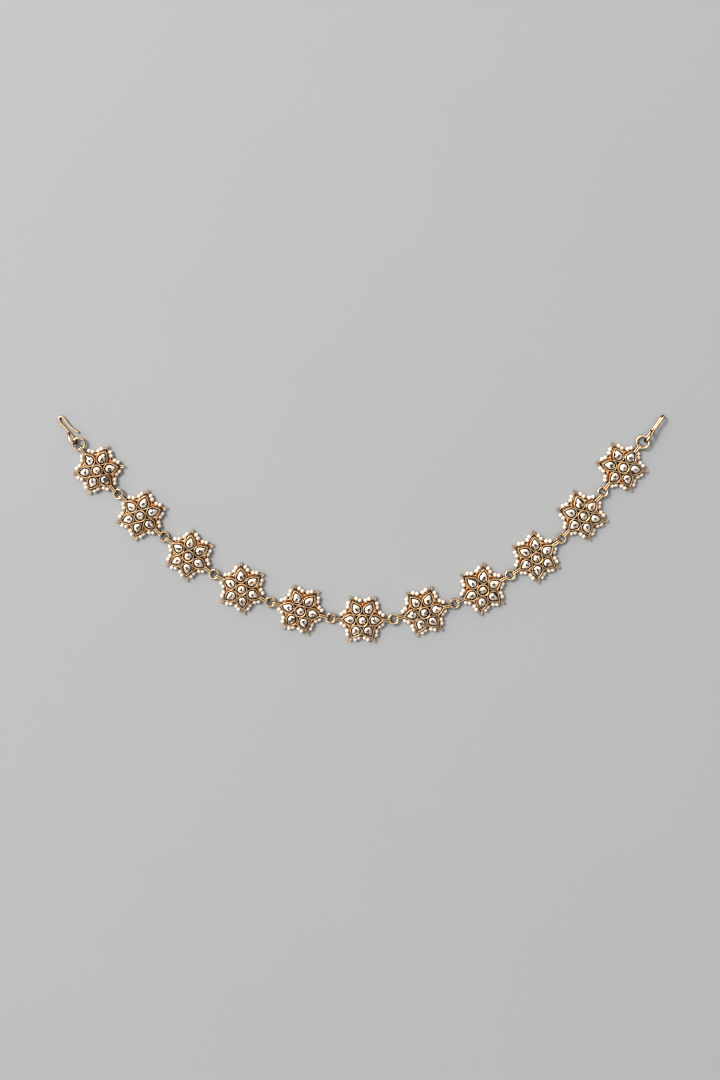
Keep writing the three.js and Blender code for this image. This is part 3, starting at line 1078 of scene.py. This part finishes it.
class MATHA_PATTI_OT_rings(bpy.types.Operator):
    """Bend the jump rings and the end rings"""

    bl_idname = "matha_patti.rings"
    bl_label = "Rings"

    def execute(self, context):
        sizes = context.scene.matha_patti_sizes
        gold = painted("antique gold", antique_gold, context.scene.matha_patti_finish)
        wire = helper("wire along a path", wire_tree)
        values = wire_values(sizes.jump_wire, 16, gold)
        small = grown(wire, path_mesh([ring_path(sizes.jump_ring)]), values)
        values = wire_values(sizes.end_wire, 16, gold)
        large = grown(wire, path_mesh([ring_path(sizes.end_ring)]), values)
        for number in LINKS:
            node = f"jump_ring_{number:02d}"
            towards = centre_of(f"centre_stone_{number + 1:02d}")
            finished(f"link_ring_{number:02d}", small, ring_place(node, towards), "gold", node)
        for side, flower in (("left", FLOWERS[0]), ("right", FLOWERS[-1])):
            node = f"end_ring_{side}"
            towards = centre_of(f"centre_stone_{flower:02d}")
            finished(f"round_ring_{side}", large, ring_place(node, towards), "gold", node)
        return {"FINISHED"}


class MATHA_PATTI_OT_hooks(bpy.types.Operator):
    """Bend the two wire hooks"""

    bl_idname = "matha_patti.hooks"
    bl_label = "Hooks"

    def execute(self, context):
        sizes = context.scene.matha_patti_sizes
        gold = painted("antique gold", antique_gold, context.scene.matha_patti_finish)
        wire = helper("wire along a path", wire_tree)
        values = wire_values(sizes.hook_wire, 16, gold)
        for side, lay in HOOKS.items():
            eye = path_mesh([through(rolled(HOOK_EYE, lay.eye), 10, closed=True)], closed=True)
            bend = path_mesh([through(rolled(HOOK_BEND, lay.bend), 10)])
            for path in (eye, bend):
                for point in path.vertices:
                    point.co.z = max(point.co.z, sizes.hook_wire - lay.lift)
            mesh = joined("hook", [grown(wire, eye, values), grown(wire, bend, values)])
            finished(f"wire_hook_{side}", mesh, hook_place(side), "gold", f"hook_{side}")
        return {"FINISHED"}


def soft_box(name, place, aim, size, power):
    """A square light that shines at a point and doesn't show in polished metal."""
    light = bpy.data.lights.new(name, "AREA")
    light.shape = "SQUARE"
    light.size = size
    light.energy = power
    lamp = bpy.data.objects.new(name, light)
    lamp.matrix_world = look(place, aim)
    lamp.visible_glossy = False
    bpy.context.scene.collection.objects.link(lamp)


def look(place, aim):
    facing = (Vector(aim) - Vector(place)).to_track_quat("-Z", "Y")
    return Matrix.LocRotScale(Vector(place), facing, None)


def pale_room(strength):
    """A pale room with a soft glow at the key light, dark on the far side and right overhead."""
    world = bpy.data.worlds.new("pale room")
    world.use_nodes = True
    graph = Graph(world.node_tree)
    direction = graph.node("ShaderNodeTexCoord", output="Generated")
    east, north, height = (graph.axis(direction, name) for name in "XYZ")
    grey = {part: (tone, tone, tone, 1.0) for part, tone in ROOM.items()}
    lit = (north * 0.6 - east * 0.8).smooth(-0.6, 0.1)
    wall = graph.mix(lit, grey["dark"], grey["wall"])
    room = graph.mix(height.smooth(0.62, 0.80), wall, grey["ceiling"])
    room = graph.mix(height.smooth(0.955, 0.98), room, grey["dark"])
    towards_key = height * KEY_SIDE[2] + north * KEY_SIDE[1] + east * KEY_SIDE[0]
    colour = graph.mix(towards_key.smooth(0.89, 0.95), room, grey["glow"])
    background = world.node_tree.nodes["Background"]
    graph.tree.links.new(colour.socket, background.inputs["Color"])
    background.inputs["Strength"].default_value = strength
    bpy.context.scene.world = world


class MATHA_PATTI_OT_stage(bpy.types.Operator):
    """Set the table, the soft light and the camera"""

    bl_idname = "matha_patti.stage"
    bl_label = "Stage"

    def execute(self, context):
        scene = context.scene
        settings = scene.matha_patti_stage
        floor = bpy.data.meshes.new("table")
        half, height = TABLE["half"], TABLE["height"]
        corners = [(-half, -half), (half, -half), (half, half), (-half, half)]
        floor.from_pydata([(x, y, height) for x, y in corners], [], [(0, 1, 2, 3)])
        table = bpy.data.objects.new("table", floor)
        floor.materials.append(painted("table top", table_top, settings))
        scene.collection.objects.link(table)
        pale_room(settings.room_light)
        soft_box("key light", KEY_AWAY * Vector(KEY_SIDE), (0, 0, 0), KEY_SIZE, settings.key_power)
        camera = bpy.data.cameras.new("camera")
        camera.lens = camera.sensor_width * settings.camera_height / VIEW_SIZE
        camera.shift_y = (VIEW_MIDDLE - NADIR[1]) / VIEW_SIZE
        camera.clip_start = 0.01
        eye = bpy.data.objects.new("camera", camera)
        eye.location = (NADIR[0], NADIR[1], settings.camera_height)
        scene.collection.objects.link(eye)
        scene.camera = eye
        scene.view_settings.view_transform = "Standard"
        return {"FINISHED"}


PIECES = ("stage", "settings", "stones", "pearls", "rings", "hooks")


class MATHA_PATTI_PT_pieces(bpy.types.Panel):
    """The matha patti's pieces and finishes"""

    bl_label = "Matha Patti"
    bl_idname = "MATHA_PATTI_PT_pieces"
    bl_space_type = "VIEW_3D"
    bl_region_type = "UI"
    bl_category = "Matha Patti"

    def draw(self, context):
        for name in PIECES:
            self.layout.operator(f"matha_patti.{name}")
        for group in ("sizes", "finish", "stage"):
            settings = getattr(context.scene, f"matha_patti_{group}")
            box = self.layout.box()
            for name in type(settings).__annotations__:
                box.prop(settings, name)


GROUPS = {"sizes": MathaPattiSizes, "finish": MathaPattiFinish, "stage": MathaPattiStage}
OPERATORS = (
    MATHA_PATTI_OT_stage,
    MATHA_PATTI_OT_settings,
    MATHA_PATTI_OT_stones,
    MATHA_PATTI_OT_pearls,
    MATHA_PATTI_OT_rings,
    MATHA_PATTI_OT_hooks,
)


def register():
    for name, group in GROUPS.items():
        bpy.utils.register_class(group)
        setattr(bpy.types.Scene, f"matha_patti_{name}", bpy.props.PointerProperty(type=group))
    for made in (*OPERATORS, MATHA_PATTI_PT_pieces):
        bpy.utils.register_class(made)


def unregister():
    for made in (MATHA_PATTI_PT_pieces, *reversed(OPERATORS)):
        bpy.utils.unregister_class(made)
    for name, group in GROUPS.items():
        delattr(bpy.types.Scene, f"matha_patti_{name}")
        bpy.utils.unregister_class(group)


def main():
    """Makes the stage and every piece."""
    register()
    for name in PIECES:
        getattr(bpy.ops.matha_patti, name)()


if __name__ == "__main__":
    main()
